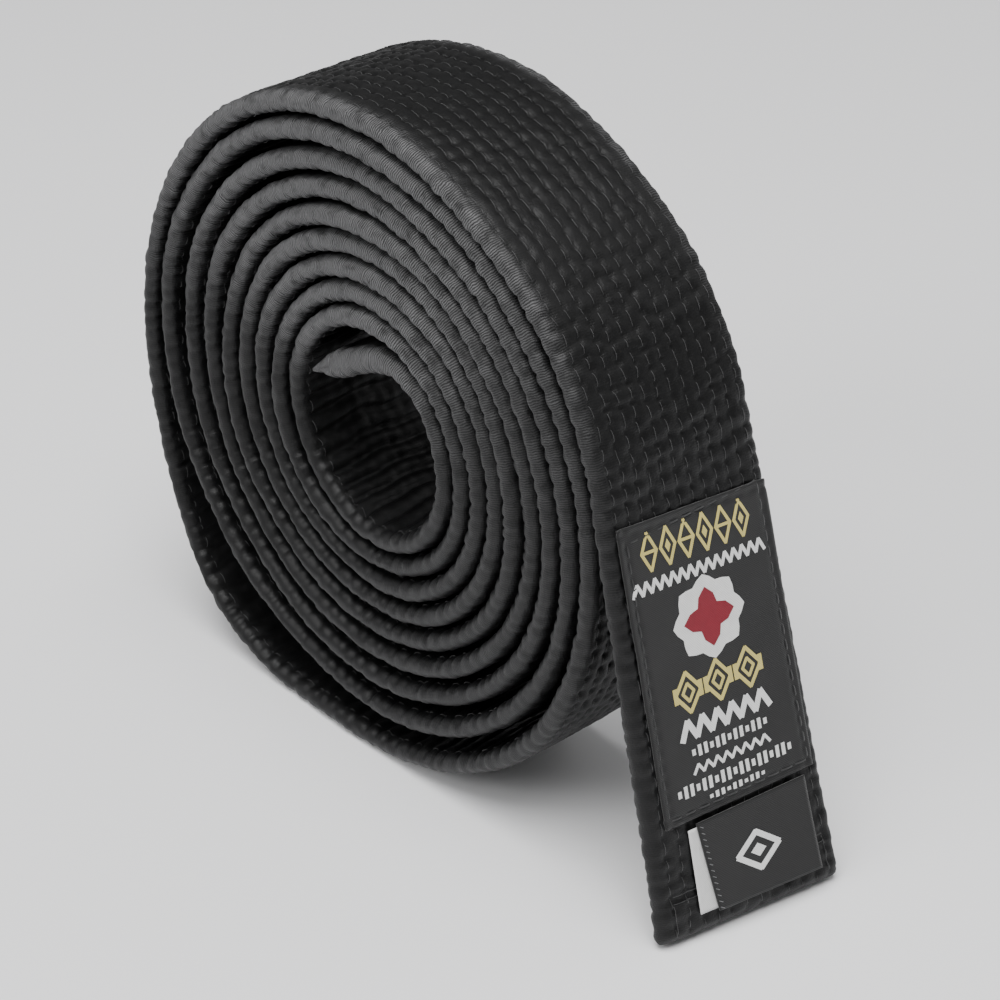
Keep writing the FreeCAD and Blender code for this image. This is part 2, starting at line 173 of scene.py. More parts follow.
class BeltColours(bpy.types.PropertyGroup):
    """Colours of the cloths and threads, and the sheen painted onto the satin's rounded edges."""

    satin: colour("Satin", "The cover's flat faces", (0.0030, 0.0030, 0.0032))
    # Painted sheen: the light colour that the satin's rounded edges are painted with where they
    # catch the light.
    satin_edge_sheen: colour("Satin edge sheen", "The cover's rounded edges", (0.105, 0.105, 0.107))
    thread: colour("Thread", "The quilting thread", (0.011, 0.011, 0.012))
    border_thread: colour("Border thread", "The stitches round the label",
                          (0.020, 0.020, 0.021))
    pale_thread: colour("Pale thread", "The overcast stitches of the size tag",
                        (0.16, 0.16, 0.165))
    label: colour("Label ground", "The woven label's ground", (0.0034, 0.0034, 0.0036))
    crimson: colour("Crimson", "The rosette's heart", (0.25, 0.000, 0.015))
    white: colour("White", "The pale figures", (0.90, 0.90, 0.89))
    gold: colour("Gold", "The gold figures", (0.72, 0.61, 0.19))
    care: colour("Care tag", "The care tag's ribbon", (0.80, 0.80, 0.79))
    floor: colour("Floor", "The pale floor", (0.80, 0.80, 0.81))


def roll_sizes():
    return bpy.context.scene.belt_roll


def quilt_sizes():
    return bpy.context.scene.belt_quilt


def label_sizes():
    return bpy.context.scene.belt_label


def colours():
    return bpy.context.scene.belt_colours


# ------------------------------------------------------------------ the belt's middle line
def facing(turn):
    """Unit vector in the XZ plane at an angle from +X towards +Z."""
    return Vector((math.cos(turn), 0.0, math.sin(turn)))


class MiddleLine:
    """The belt's middle line, from the labelled tip through the roll to the plain tip.

    Belt space is (x, y, z): x runs from the lift line towards the labelled tip, so it is
    negative in the roll, y runs across the belt, and z stands out of its outer face.
    """

    def __init__(self):
        sizes = roll_sizes()
        self.half = sizes.thick / 2
        self.pitch = sizes.thick + sizes.wrap_gap
        self.tail = self.tail_length(sizes)
        up = facing(sizes.lift_angle + math.pi / 2)
        steps = [(self.tail, sizes.lift_angle)] + self.outer_turn(sizes)
        steps += self.inner_turns(sizes)
        steps.append((sizes.tongue_radius, sizes.tight_angle, sizes.tongue_angle))
        steps.append((sizes.tongue_length, sizes.tongue_angle))
        self.trace(LIFT_POINT - up * self.tail, steps)
        self.wound = self.reach[-1] - sizes.tongue_length

    def tail_length(self, sizes):
        """Lift line to the labelled tip, from the height of the cover's lowest corner."""
        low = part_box("tail_cover")[0][2]
        lean = sizes.lift_angle
        return (LIFT_POINT.z - low - self.half * math.sin(lean)) / math.cos(lean)

    def loose_air(self, sizes, turn):
        """Extra air under a full turn on the loose side, counted from the outside."""
        return sizes.loose_gap * sizes.loose_fade ** turn + sizes.even_gap

    def inner_turns(self, sizes):
        """Half turns from the second turn inwards, as (radius, start, end)."""
        tight = sizes.tight_angle
        near = sizes.eye_reach + sizes.full_turns * self.pitch
        airs = [self.loose_air(sizes, turn) for turn in range(sizes.full_turns)]
        far = sizes.eye_loose_reach + sum(self.pitch + air for air in airs[:-1])
        steps = []
        for air in airs:
            steps.append(((near + far) / 2, tight, tight + math.pi))
            near = near - self.pitch
            steps.append(((near + far) / 2, tight + math.pi, tight + 2 * math.pi))
            far = far - self.pitch - air
        return steps

    def outer_turn(self, sizes):
        """The slack outermost turn, closed onto the second turn by its two solved radii."""
        lift, tight = sizes.lift_angle, sizes.tight_angle
        side, corner, down = sizes.side_start, sizes.corner_start, 1.5 * math.pi
        second = sizes.eye_reach + sizes.full_turns * self.pitch
        top = second + self.pitch + sizes.top_slack
        start = facing(lift) * (second + self.pitch + sizes.lift_slack)
        known = (facing(side) - facing(lift)) * top
        known += (facing(down) - facing(corner)) * sizes.corner_radius
        known += Vector((sizes.foot_length, 0.0, 0.0))
        wanted = facing(tight) * second - start - known
        side_step = facing(corner) - facing(side)
        rise_step = facing(tight + 2 * math.pi) - facing(down)
        square = np.array([[side_step.x, rise_step.x], [side_step.z, rise_step.z]])
        side_radius, rise_radius = np.linalg.solve(square, [wanted.x, wanted.z])
        return [
            (top, lift, side),
            (float(side_radius), side, corner),
            (sizes.corner_radius, corner, down),
            (sizes.foot_length, down),
            (float(rise_radius), down, tight + 2 * math.pi),
        ]

    def trace(self, point, steps):
        """Even samples of position and facing along tangent bends and straight runs."""
        reach, xs, zs, turns = [0.0], [point.x], [point.z], [steps[0][1]]
        for step in steps:
            if len(step) == 3:
                radius, start, end = step
                count = max(2, int(radius * (end - start) / (0.3 * MM)))
                centre = point - facing(start) * radius
                for share in np.linspace(0, 1, count + 1)[1:]:
                    turn = start + share * (end - start)
                    here = centre + facing(turn) * radius
                    reach.append(reach[-1] + radius * (end - start) / count)
                    xs.append(here.x)
                    zs.append(here.z)
                    turns.append(turn)
            else:
                run, turn = step
                here = point + facing(turn + math.pi / 2) * run
                reach.append(reach[-1] + run)
                xs.append(here.x)
                zs.append(here.z)
                turns.append(turn)
            point = here
        turns = np.unwrap(np.array(turns))
        self.reach = np.array(reach) - self.tail
        self.xs, self.zs, self.turns = np.array(xs), np.array(zs), turns

    def lay(self, points):
        """Belt-space points moved to their places on the wound belt."""
        sizes = roll_sizes()
        s, y, out = -points[:, 0], points[:, 1].copy(), points[:, 2]
        turn = np.interp(s, self.reach, self.turns)
        x = np.interp(s, self.reach, self.xs) + np.cos(turn) * out
        z = np.interp(s, self.reach, self.zs) + np.sin(turn) * out
        wound = np.clip(s / (40 * MM), 0, 1)
        y += sizes.sway * wound * slow_waves(11, s, 70 * MM)
        y *= 1 + quilt_sizes().tail_spread * np.clip(-s / (15 * MM), 0, 1)
        share = np.clip((-s - 4 * MM) / self.tail, 0, 1)
        x += sizes.twist * (y / (sizes.width / 2)) * share ** 1.3
        return np.column_stack([x, y, z])


def slow_waves(seed, distance, spacing):
    """A smooth uneven wave from -1 to 1 along a distance."""
    spread = np.random.RandomState(seed)
    total = 0.0
    for share in (1.0, 0.61, 0.37):
        total = total + share * np.sin(2 * math.pi * (distance / (spacing * share * 1.6)
                                                      + spread.rand()))
    return total / 1.98


def patches(seed, u, v):
    """Smooth uneven patches from -1 to 1, one to each unit of u and v."""
    table = np.random.RandomState(seed).rand(97, 31) * 2 - 1
    left, low = np.floor(u).astype(int), np.floor(v).astype(int)
    across, up = u - left, v - low
    across, up = across ** 2 * (3 - 2 * across), up ** 2 * (3 - 2 * up)
    corner = [table[(left + i) % 97, (low + j) % 31] for i in (0, 1) for j in (0, 1)]
    near = corner[0] * (1 - up) + corner[1] * up
    far = corner[2] * (1 - up) + corner[3] * up
    return near * (1 - across) + far * across


# ------------------------------------------------------------------ quilting relief
class Quilting:
    """How deep the satin lies under its flat outline, along and across the belt."""

    def __init__(self, line):
        self.line = line
        self.sizes = quilt_sizes()
        spread = np.random.RandomState(5)
        self.phases = spread.rand(self.sizes.rows)

    def row_place(self, row, s):
        """Where a stitch row runs across the belt."""
        sizes = self.sizes
        middle = (row - (sizes.rows - 1) / 2) * sizes.row_pitch
        return middle + sizes.row_sway * slow_waves(40 + row, s, 9 * MM)

    def stitch_phase(self, row, s):
        """Counts stitches along a row; needle holes are at whole numbers."""
        return (s / self.sizes.stitch + self.phases[row]
                + 0.34 * slow_waves(70 + row, s, 17 * MM))

    def pull(self, row, s):
        """How hard the thread pulls along a row: 1 at a needle hole, 0 between."""
        return 0.5 + 0.5 * np.cos(2 * math.pi * self.stitch_phase(row, s))

    def folds(self, s, y, seed):
        """Uneven folds across the belt, 1 in a crease and 0 on a ridge."""
        spacing = self.sizes.fold
        warp = (1.3 * slow_waves(seed, s, 37 * MM) + 1.6 * slow_waves(seed + 1, y, 26 * MM)
                + 1.1 * patches(seed, s / (9 * MM), y / (7 * MM)))
        crease = 0.5 + 0.5 * np.cos(2 * math.pi * s / spacing + warp)
        return crease ** 2.2

    def face_depth(self, s, y, inner):
        """Depth of a flat face at distances s and y; inner picks the concave side."""
        sizes = self.sizes
        depth = np.zeros(np.broadcast(s, y).shape)
        pulls = [self.pull(row, s) for row in range(sizes.rows)]
        nearest = np.full(depth.shape, 9.0)
        crease = np.zeros(depth.shape)
        for row, pull in enumerate(pulls):
            away = np.abs(y - self.row_place(row, s))
            valley = np.exp(-(away / sizes.row_wide) ** 2)
            depth += valley * (sizes.row_depth * (0.5 + 0.5 * pull) + sizes.hole_depth * pull ** 5)
            near = np.clip(1 - away / sizes.row_pitch, 0, 1)
            crease += near * pull ** 2
            nearest = np.minimum(nearest, away)
        unevenness = 0.65 + 0.9 * patches(90, s / (5 * MM), y / (5 * MM))
        depth += sizes.puff * crease * unevenness
        depth += sizes.crumple * (patches(13, s / (2.9 * MM), y / (3.1 * MM))
                                  + 0.5 * patches(14, (s + 0.4 * y) / (1.4 * MM),
                                                  y / (2.4 * MM)))
        hem = (s + self.line.tail - label_sizes().hem_back) / (0.9 * MM)
        depth += sizes.hem_depth * np.exp(-hem ** 2)
        if inner:
            depth *= 0.6
            curl = np.interp(s, [-20 * MM, 60 * MM, self.line.wound - 0.3, self.line.wound],
                             [0.25, 0.5, 0.7, 1.0])
            depth += sizes.inner_fold_depth * curl * self.folds(s, y, 21)
        else:
            lively = np.clip(0.45 + 0.75 * slow_waves(31, s, 90 * MM), 0.05, 1.2)
            depth += sizes.fold_depth * lively * self.folds(s, y, 25)
        return depth

    def edge_depth(self, s, bend, far):
        """Depth of a rounded edge; bend runs from 1 on the outer side to -1 inside."""
        sizes = self.sizes
        row = sizes.rows - 1 if far else 0
        pull = self.pull(row, s)
        grip = 0.35 + 0.65 * np.abs(bend) ** 1.5
        unevenness = 0.7 + 0.5 * patches(101 + far, s / (5 * MM), bend * 0.7)
        flat = np.interp(s, [-30 * MM, 0], [0.7, 1.0])
        depth = flat * sizes.edge_pinch * (0.75 * pull ** 4 + 0.25 * pull) * grip * unevenness
        depth += sizes.edge_lump * (0.5 + 0.5 * patches(111 + far, s / (4.2 * MM), bend * 1.3))
        under = np.clip(-0.1 - bend, 0, 1) ** 0.7
        pucker = 0.6 * pull ** 3 + 0.4 * patches(131 + far, s / (1.6 * MM), bend * 1.2)
        depth += flat * sizes.under_pucker * under * np.clip(pucker + 0.1, 0, 1)
        seam = np.clip((s - self.line.reach[-1] + 10 * MM) / (4 * MM), 0, 1)
        depth += sizes.end_seam * seam * np.exp(-(bend / 0.22) ** 2)
        return depth + sizes.crumple * patches(121 + far, s / (1.5 * MM), bend * 1.6)


class Section:
    """The belt's cross section as a ring of stations, with its outline and relief."""

    def __init__(self, outer_count, inner_count, edge_count):
        sizes = roll_sizes()
        self.half = sizes.thick / 2
        self.reach = sizes.width / 2
        flat = self.reach - self.half
        y, z, bend, kind = [], [], [], []
        for share in np.arange(outer_count) / outer_count:
            y.append(-flat + 2 * flat * share)
            z.append(self.half)
            bend.append(1.0)
            kind.append(0)
        for share in np.arange(edge_count) / edge_count:
            y.append(flat + self.half * math.sin(math.pi * share))
            z.append(self.half * math.cos(math.pi * share))
            bend.append(math.cos(math.pi * share))
            kind.append(1)
        for share in np.arange(inner_count) / inner_count:
            y.append(flat - 2 * flat * share)
            z.append(-self.half)
            bend.append(-1.0)
            kind.append(2)
        for share in np.arange(edge_count) / edge_count:
            y.append(-flat - self.half * math.sin(math.pi * share))
            z.append(-self.half * math.cos(math.pi * share))
            bend.append(-math.cos(math.pi * share))
            kind.append(3)
        self.y, self.z = np.array(y), np.array(z)
        self.bend, self.kind = np.array(bend), np.array(kind)
        steps = np.hypot(np.diff(self.y, append=self.y[0]), np.diff(self.z, append=self.z[0]))
        self.girth = np.concatenate([[0.0], np.cumsum(steps)])
        self.count = len(y)

    def painted_sheen_share(self, line, s):
        """Painted sheen for the base colour: the satin's rounded edges, a little of the faces
        beside them, and most of all on top of the roll.
        """
        away = np.clip(self.reach - self.half - np.abs(self.y), 0, None) / (0.9 * MM)
        round_edge = np.isin(self.kind, (1, 3))
        across = np.where(round_edge, 1 - 0.55 * np.abs(self.bend) ** 5, 0.45 * np.exp(-away))
        turn = np.degrees(np.interp(s, line.reach, line.turns)) % 360
        # Painted sheen by the belt's direction round the roll: brightest where it faces up, none
        # underneath.
        along = np.interp(turn, [0, 35, 65, 95, 135, 170, 230, 290, 360],
                          [0.12, 0.35, 1.2, 1.7, 1.3, 0.05, 0.0, 0.15, 0.12])
        # Less painted sheen on the labelled end, more on the plain end.
        along *= np.interp(s, [-25 * MM, 15 * MM, line.wound - 5 * MM, line.wound + 5 * MM],
                           [0.12, 1.0, 1.0, 2.2])
        return along[:, None] * across[None, :]

    def outline(self, quilting, s, tips):
        """Belt-space Y and Z of every station at every distance, relief included."""
        depth = np.zeros((len(s), self.count))
        for inner, kind in ((False, 0), (True, 2)):
            picked = self.kind == kind
            depth[:, picked] = quilting.face_depth(s[:, None], self.y[None, picked], inner)
        for far, kind in ((True, 1), (False, 3)):
            picked = self.kind == kind
            edge = quilting.edge_depth(s[:, None], self.bend[None, picked], int(far))
            face = quilting.face_depth(s[:, None], self.y[None, picked],
                                       False)
            flatness = np.abs(self.bend[None, picked]) ** 4
            depth[:, picked] = edge * (1 - flatness) + np.maximum(face, edge) * flatness
        y, z = self.rounded(depth, s, tips)
        wound = quilting.line.wound
        swell = np.interp(s, [wound - 14 * MM, wound + 4 * MM], [0, quilting.sizes.end_swell])
        return y, z * (1 + swell)[:, None]

    def rounded(self, depth, s, tips):
        """The outline after the relief, drawn in towards a tip where there is one."""
        flat = self.reach - self.half
        normal_y = np.where(np.isin(self.kind, (1, 3)), (np.abs(self.y) - flat) / self.half, 0)
        normal_y = np.sign(self.y) * np.clip(normal_y, 0, 1)
        normal_z = self.z / self.half
        y = self.y[None, :] - depth * normal_y[None, :]
        z = self.z[None, :] - depth * normal_z[None, :]
        for tip, taper, corner, bluntness in tips:
            away = np.abs(s - tip)
            thin = np.clip(away / taper, 0, 1) ** (1 / bluntness)
            narrow = corner * (1 - np.sqrt(np.clip(1 - (1 - np.clip(away / corner, 0, 1)) ** 2,
                                                   0, 1)))
            z = z * np.maximum(thin, 0.04)[:, None]
            y = y * (1 - narrow / self.reach)[:, None]
        return y, z


def stations(start, end, step, tips):
    """Distances along the belt, closer together where a tip is rounded."""
    count = max(2, int(round(abs(end - start) / step)))
    s = list(np.linspace(start, end, count + 1))
    s += [start + 0.05 * MM, start + 0.25 * MM, end - 0.05 * MM, end - 0.25 * MM]
    for tip, taper, *_ in tips:
        inward = 1 if abs(start - tip) < abs(end - tip) else -1
        s += [tip + inward * taper * share ** 2 for share in np.linspace(0, 0.55, 6)]
    s = np.unique(np.round(np.array(s), 7))
    keep = np.concatenate([[True], np.diff(s) > 0.02 * MM])
    return s[keep]


# ------------------------------------------------------------------ meshes in belt space
def new_piece(name, bm, line=None, smooth=True):
    """Turns a bmesh in belt space into an object that lies on the wound belt."""
    mesh = bpy.data.meshes.new(name)
    bm.to_mesh(mesh)
    bm.free()
    if line is not None:
        lay_mesh(mesh, line)
    mesh.shade_smooth() if smooth else mesh.shade_flat()
    piece = bpy.data.objects.new(name, mesh)
    bpy.context.collection.objects.link(piece)
    return piece


def lay_mesh(mesh, line):
    """Moves a mesh from belt space to its place on the wound belt."""
    points = np.empty(len(mesh.vertices) * 3)
    mesh.vertices.foreach_get("co", points)
    laid = line.lay(points.reshape(-1, 3))
    mesh.vertices.foreach_set("co", laid.ravel())
    mesh.update()


def ring_tube(bm, sides, steps):
    """An open tube of unit cells: a grid with its last row of points welded to the first."""
    place = Matrix.Translation((steps / 2, sides / 2, 0))
    place = place @ Matrix.Diagonal((steps / 2, sides / 2, 1, 1))
    bmesh.ops.create_grid(bm, x_segments=steps, y_segments=sides, size=1.0, matrix=place)
    first = {round(vert.co.x): vert for vert in bm.verts if round(vert.co.y) == 0}
    last = [vert for vert in bm.verts if round(vert.co.y) == sides]
    bmesh.ops.weld_verts(bm, targetmap={vert: first[round(vert.co.x)] for vert in last})


def close_ends(bm):
    """Fills both open ends of a tube and keeps their rims crisp."""
    rims = [edge for edge in bm.edges if edge.is_boundary]
    bmesh.ops.holes_fill(bm, edges=rims, sides=0)
    for edge in rims:
        edge.smooth = False


def tube_places(mesh, sides):
    """Which step and which side of the ring each vertex of a fresh tube belongs to."""
    points = np.empty(len(mesh.vertices) * 3)
    mesh.vertices.foreach_get("co", points)
    cells = np.round(points.reshape(-1, 3)).astype(int)
    return cells[:, 0], np.mod(cells[:, 1], sides)


def write_tube(mesh, places, x, y, z):
    """Puts each vertex of a tube at its step and side of the given tables."""
    step, side = places
    placed = np.column_stack([x[step, side], y[step, side], z[step, side]])
    mesh.vertices.foreach_set("co", placed.ravel())
    mesh.update()


def write_strip_uv(mesh, places, s, girth):
    """A UV map in metres: U along the belt and V round its section."""
    step, side = places
    sides = len(girth) - 1
    corners = np.empty(len(mesh.loops), dtype=np.int32)
    mesh.loops.foreach_get("vertex_index", corners)
    starts = np.empty(len(mesh.polygons), dtype=np.int32)
    totals = np.empty(len(mesh.polygons), dtype=np.int32)
    mesh.polygons.foreach_get("loop_start", starts)
    mesh.polygons.foreach_get("loop_total", totals)
    face = np.repeat(np.arange(len(starts)), totals)
    ring = side[corners].astype(float)
    highest = np.full(len(starts), -1.0)
    np.maximum.at(highest, face, ring)
    wraps = (highest[face] > sides * 0.75) & (ring < sides * 0.25) & (totals[face] == 4)
    ring = np.where(wraps, ring + sides, ring)
    v = np.interp(ring, np.arange(sides + 1), girth)
    layer = mesh.uv_layers.new(name="UVMap")
    layer.data.foreach_set("uv", np.column_stack([s[step[corners]], v]).ravel())


def write_share(mesh, name, values):
    """A number per vertex that a material reads."""
    layer = mesh.attributes.new(name, "FLOAT", "POINT")
    layer.data.foreach_set("value", values.astype(np.float32))


def belt_piece(name, line, start, end, step, counts, tips=()):
    """A closed length of quilted satin belt between two distances from the lift line."""
    section = Section(*counts)
    s = stations(start, end, step, tips)
    bm = bmesh.new()
    ring_tube(bm, section.count, len(s) - 1)
    close_ends(bm)
    mesh = bpy.data.meshes.new(name)
    bm.to_mesh(mesh)
    bm.free()
    places = tube_places(mesh, section.count)
    y, z = section.outline(Quilting(line), s, tips)
    x = np.repeat(-s[:, None], section.count, axis=1)
    write_tube(mesh, places, x, y, z)
    write_strip_uv(mesh, places, s, section.girth)
    # The "edge" share is the painted sheen that the satin material mixes into its base colour.
    write_share(mesh, "edge", section.painted_sheen_share(line, s)[places])
    lay_mesh(mesh, line)
    mend_normals(mesh)
    mesh.shade_smooth()
    piece = bpy.data.objects.new(name, mesh)
    bpy.context.collection.objects.link(piece)
    return piece


def mend_normals(mesh):
    """Turns every face of a closed mesh outwards."""
    bm = bmesh.new()
    bm.from_mesh(mesh)
    bmesh.ops.recalc_face_normals(bm, faces=bm.faces)
    bm.to_mesh(mesh)
    bm.free()


# ------------------------------------------------------------------ threads
def thread_tube(bm, x, y, z, radius):
    """One thread through belt-space points, as a slim five-sided tube."""
    sides = 5
    strand = bmesh.new()
    ring_tube(strand, sides, len(x) - 1)
    mesh = bpy.data.meshes.new("strand")
    strand.to_mesh(mesh)
    strand.free()
    places = tube_places(mesh, sides)
    turn = np.arange(sides) / sides * 2 * math.pi
    along_x, along_y = np.gradient(x), np.gradient(y)
    size = np.hypot(along_x, along_y) + 1e-12
    side_x, side_y = -along_y / size, along_x / size
    across = radius * np.cos(turn)
    write_tube(mesh, places, x[:, None] + side_x[:, None] * across[None, :],
               y[:, None] + side_y[:, None] * across[None, :],
               z[:, None] + radius * np.sin(turn)[None, :])
    bm.from_mesh(mesh)
    bpy.data.meshes.remove(mesh)


def row_thread(bm, quilting, row, start, end, inner):
    """The thread of one stitch row, diving into the satin at every needle hole."""
    sizes = quilting.sizes
    half = quilting.line.half
    samples = np.linspace(start, end, max(50, int((end - start) / (0.2 * MM))))
    phase = quilting.stitch_phase(row, samples)
    beats = np.arange(math.ceil(phase[0] * 8) / 8, phase[-1], 1 / 8)
    s = np.interp(beats, phase, samples)
    y = quilting.row_place(row, s)
    depth = quilting.face_depth(s, y, inner)
    dive = np.abs(np.cos(math.pi * beats)) ** 14
    height = half - depth + sizes.thread * (0.55 - 3.6 * dive)
    thread_tube(bm, -s, y, -height if inner else height, sizes.thread)


def row_threads(name, line, start, end, faces):
    """The threads of several stitch rows as one piece; faces lists (rows, inner)."""
    quilting = Quilting(line)
    bm = bmesh.new()
    for rows, inner in faces:
        for row in rows:
            row_thread(bm, quilting, row, start, end, inner)
    bmesh.ops.recalc_face_normals(bm, faces=bm.faces)
    return new_piece(name, bm, line)


def seam_thread(bm, first, last, height, radius, stitch):
    """A straight line of stitches from one belt-space place to another."""
    travel = math.dist(first, last)
    beats = np.arange(0, max(1, round(travel / stitch)) + 1e-6, 1 / 6)
    share = beats / beats[-1]
    x = first[0] + (last[0] - first[0]) * share
    y = first[1] + (last[1] - first[1]) * share
    dive = np.abs(np.cos(math.pi * beats)) ** 8
    z = height + radius * (0.5 - 3.2 * dive)
    thread_tube(bm, x, y, z, radius)


# ------------------------------------------------------------------ shader maths
class Sock:
    """A number's socket with Python's arithmetic; each sum adds its Math node."""

    def __init__(self, bench, socket):
        self.bench = bench
        self.socket = socket

    def math(self, operation, *others):
        return self.bench.node("ShaderNodeMath", {"operation": operation}, (self,) + others)

    def __add__(self, other):
        return self.math("ADD", other)

    def __radd__(self, other):
        return self.math("ADD", other)

    def __sub__(self, other):
        return self.math("SUBTRACT", other)

    def __rsub__(self, other):
        return self.bench.node("ShaderNodeMath", {"operation": "SUBTRACT"}, (other, self))

    def __mul__(self, other):
        return self.math("MULTIPLY", other)

    def __rmul__(self, other):
        return self.math("MULTIPLY", other)

    def __truediv__(self, other):
        return self.math("DIVIDE", other)

    def __pow__(self, other):
        return self.math("POWER", other)

    def sine(self):
        return self.math("SINE")

    def floor(self):
        return self.math("FLOOR")

    def part(self):
        return self.math("FRACT")

    def above(self, limit):
        return self.math("GREATER_THAN", limit)


class Bench:
    """A material's node tree and the few ways in which nodes are added to it."""

    def __init__(self, name):
        self.material = bpy.data.materials.new(name)
        self.material.use_nodes = True
        self.tree = self.material.node_tree
        self.shader = self.tree.nodes["Principled BSDF"]

    def node(self, kind, settings=None, values=(), output=0):
        """Adds a node: its settings first, then its sockets' values or links."""
        node = self.tree.nodes.new(kind)
        for key, value in (settings or {}).items():
            setattr(node, key, value)
        pairs = values.items() if isinstance(values, dict) else enumerate(values)
        for key, value in pairs:
            self.feed(node.inputs[key], value)
        return Sock(self, node.outputs[output])

    def feed(self, socket, value):
        """Links a socket, or sets its plain value."""
        if isinstance(value, Sock):
            self.tree.links.new(value.socket, socket)
        elif value is not None:
            socket.default_value = value

    def set(self, **sockets):
        """Sets or links the shader's own sockets, named with underscores for spaces."""
        for key, value in sockets.items():
            self.feed(self.shader.inputs[key.replace("_", " ")], value)

    def belt_place(self):
        """Distances along and round the belt, in millimetres, from the UV map."""
        uv = self.node("ShaderNodeUVMap", {"uv_map": "UVMap"})
        split = self.node("ShaderNodeSeparateXYZ", None, (uv,))
        across = Sock(self, split.socket.node.outputs[1])
        return split * 1000.0, across * 1000.0, uv

    def noise(self, vector, scale, detail=2.0):
        """Soft noise from 0 to 1."""
        return self.node("ShaderNodeTexNoise", None,
                         {"Vector": vector, "Scale": scale, "Detail": detail})

    def mix(self, share, first, second):
        """A colour between two, by a share from 0 to 1."""
        node = self.tree.nodes.new("ShaderNodeMix")
        node.data_type = "RGBA"
        self.feed(node.inputs[0], share)
        for index, value in ((6, first), (7, second)):
            value = value if isinstance(value, Sock) else tuple(value)[:3] + (1.0,)
            self.feed(node.inputs[index], value)
        return Sock(self, node.outputs[2])

    def bump(self, height, distance, strength=1.0, under=None):
        """A Bump node on top of another, ready for the Normal socket."""
        values = {"Height": height, "Distance": distance, "Strength": strength}
        if under is not None:
            values["Normal"] = under
        return self.node("ShaderNodeBump", None, values)


def satin_material():
    """Black satin: floats wrap the rounded edges as fine lines, and the faces stay dark. Sheen is
    painted into the base colour on the rounded edges, brightest on top of the roll.
    """
    shades = colours()
    bench = Bench("satin_cloth")
    along, across, uv = bench.belt_place()
    # The "edge" attribute carries each point's share of painted sheen.
    edge = bench.node("ShaderNodeAttribute", {"attribute_name": "edge"}, output=2)
    patch = bench.noise(uv, 330.0, 3.0)
    wander = bench.noise(uv, 700.0, 2.0)
    speck = bench.noise(uv, 2600.0, 2.0)
    edge_pitch, face_pitch = 0.46, 0.34
    patch_gain, patch_floor = 2.4, 0.45
    groove_shine, float_shine = 0.05, 1.25
    darkest, lightest = 0.4, 1.8
    slant = across * 0.10 + wander * 1.5
    lines = ((along / edge_pitch + slant) * (2 * math.pi)).sine() * 0.5 + 0.5
    floats = ((across / face_pitch + along * 0.25 + wander) * (2 * math.pi)).sine() * 0.5 + 0.5
    # Painted sheen: the edges' light colour in patches along the float lines, mixed into the base
    # colour.
    sheen_paint = edge * (patch * patch_gain - patch_floor) * (groove_shine + lines * float_shine)
    face = bench.mix(speck * patch, tuple(channel * darkest for channel in shades.satin),
                     tuple(channel * lightest for channel in shades.satin))
    base = bench.mix(sheen_paint, face, shades.satin_edge_sheen)
    rough = 0.30 + patch * 0.22 + speck * 0.14
    fine = bench.bump(lines * (edge * 0.8 + 0.10) + floats * 0.12 + speck * 0.7, 0.0001, 1.0)
    soft = bench.bump(patch, 0.0003, 0.6, fine)
    bench.set(Base_Color=base, Roughness=rough, Normal=soft, Specular_IOR_Level=0.27)
    return bench.material


def thread_material(name, tint):
    """Twisted sewing thread with a faint shine."""
    bench = Bench(name)
    place = bench.node("ShaderNodeTexCoord", output=3)
    grain = bench.noise(place, 1500.0, 1.0)
    dark = tuple(channel * 0.45 for channel in tint)
    bench.set(Base_Color=bench.mix(grain, dark, tint), Roughness=0.5 + grain * 0.1,
              Specular_IOR_Level=0.5, Sheen_Weight=0.2)
    return bench.material


def woven_material(name, tint, pitch, relief, roughness):
    """Fine damask weave: close ribs across the label with a slight twill."""
    bench = Bench(name)
    place = bench.node("ShaderNodeTexCoord", output=3)
    split = bench.node("ShaderNodeSeparateXYZ", None, (place,))
    across = Sock(bench, split.socket.node.outputs[1])
    up = Sock(bench, split.socket.node.outputs[2])
    ribs = ((up / pitch) * (2 * math.pi)).sine() * 0.5 + 0.5
    picks = ((across / (pitch * 1.3) + up / (pitch * 2.0)) * (2 * math.pi)).sine() * 0.5 + 0.5
    grain = bench.noise(place, 700.0, 2.0)
    dark = tuple(channel * 0.55 for channel in tint)
    base = bench.mix(ribs * 0.45 + picks * 0.25 + grain * 0.3, dark, tint)
    normal = bench.bump(ribs * 0.7 + picks * 0.3, relief, 0.8)
    bench.set(Base_Color=base, Roughness=roughness, Normal=normal, Specular_IOR_Level=0.35,
              Sheen_Weight=0.15)
    return bench.material


def floor_material():
    """A pale matt studio floor with very faint unevenness."""
    bench = Bench("studio_floor")
    place = bench.node("ShaderNodeTexCoord", output=3)
    cloud = bench.noise(place, 3.0, 2.0)
    tint = tuple(colours().floor)
    light = tuple(min(1.0, channel * 1.06) for channel in tint)
    bench.set(Base_Color=bench.mix(cloud, tint, light), Roughness=0.75)
    return bench.material


def material(name):
    """One of this object's materials, made the first time it is asked for."""
    made = bpy.data.materials.get(name)
    if made is not None:
        return made
    shades = colours()
    threads = {
        "quilting_thread": shades.thread,
        "border_thread": shades.border_thread,
        "pale_thread": shades.pale_thread,
    }
    weaves = {
        "label_ground": (shades.label, 0.34 * MM, 0.00005, 0.6),
        "white_figures": (shades.white, 0.30 * MM, 0.00004, 0.65),
        "gold_figures": (shades.gold, 0.30 * MM, 0.00004, 0.6),
        "crimson_figures": (shades.crimson, 0.30 * MM, 0.00004, 0.65),
        "care_ribbon": (shades.care, 0.25 * MM, 0.00003, 0.7),
    }
    if name in threads:
        return thread_material(name, tuple(threads[name]))
    if name in weaves:
        tint, pitch, relief, roughness = weaves[name]
        return woven_material(name, tuple(tint), pitch, relief, roughness)
    return {"satin_cloth": satin_material, "studio_floor": floor_material}[name]()


def dress(piece, slot, *names):
    """Gives a piece its materials; the slot is not used."""
    for name in names:
        piece.data.materials.append(material(name))


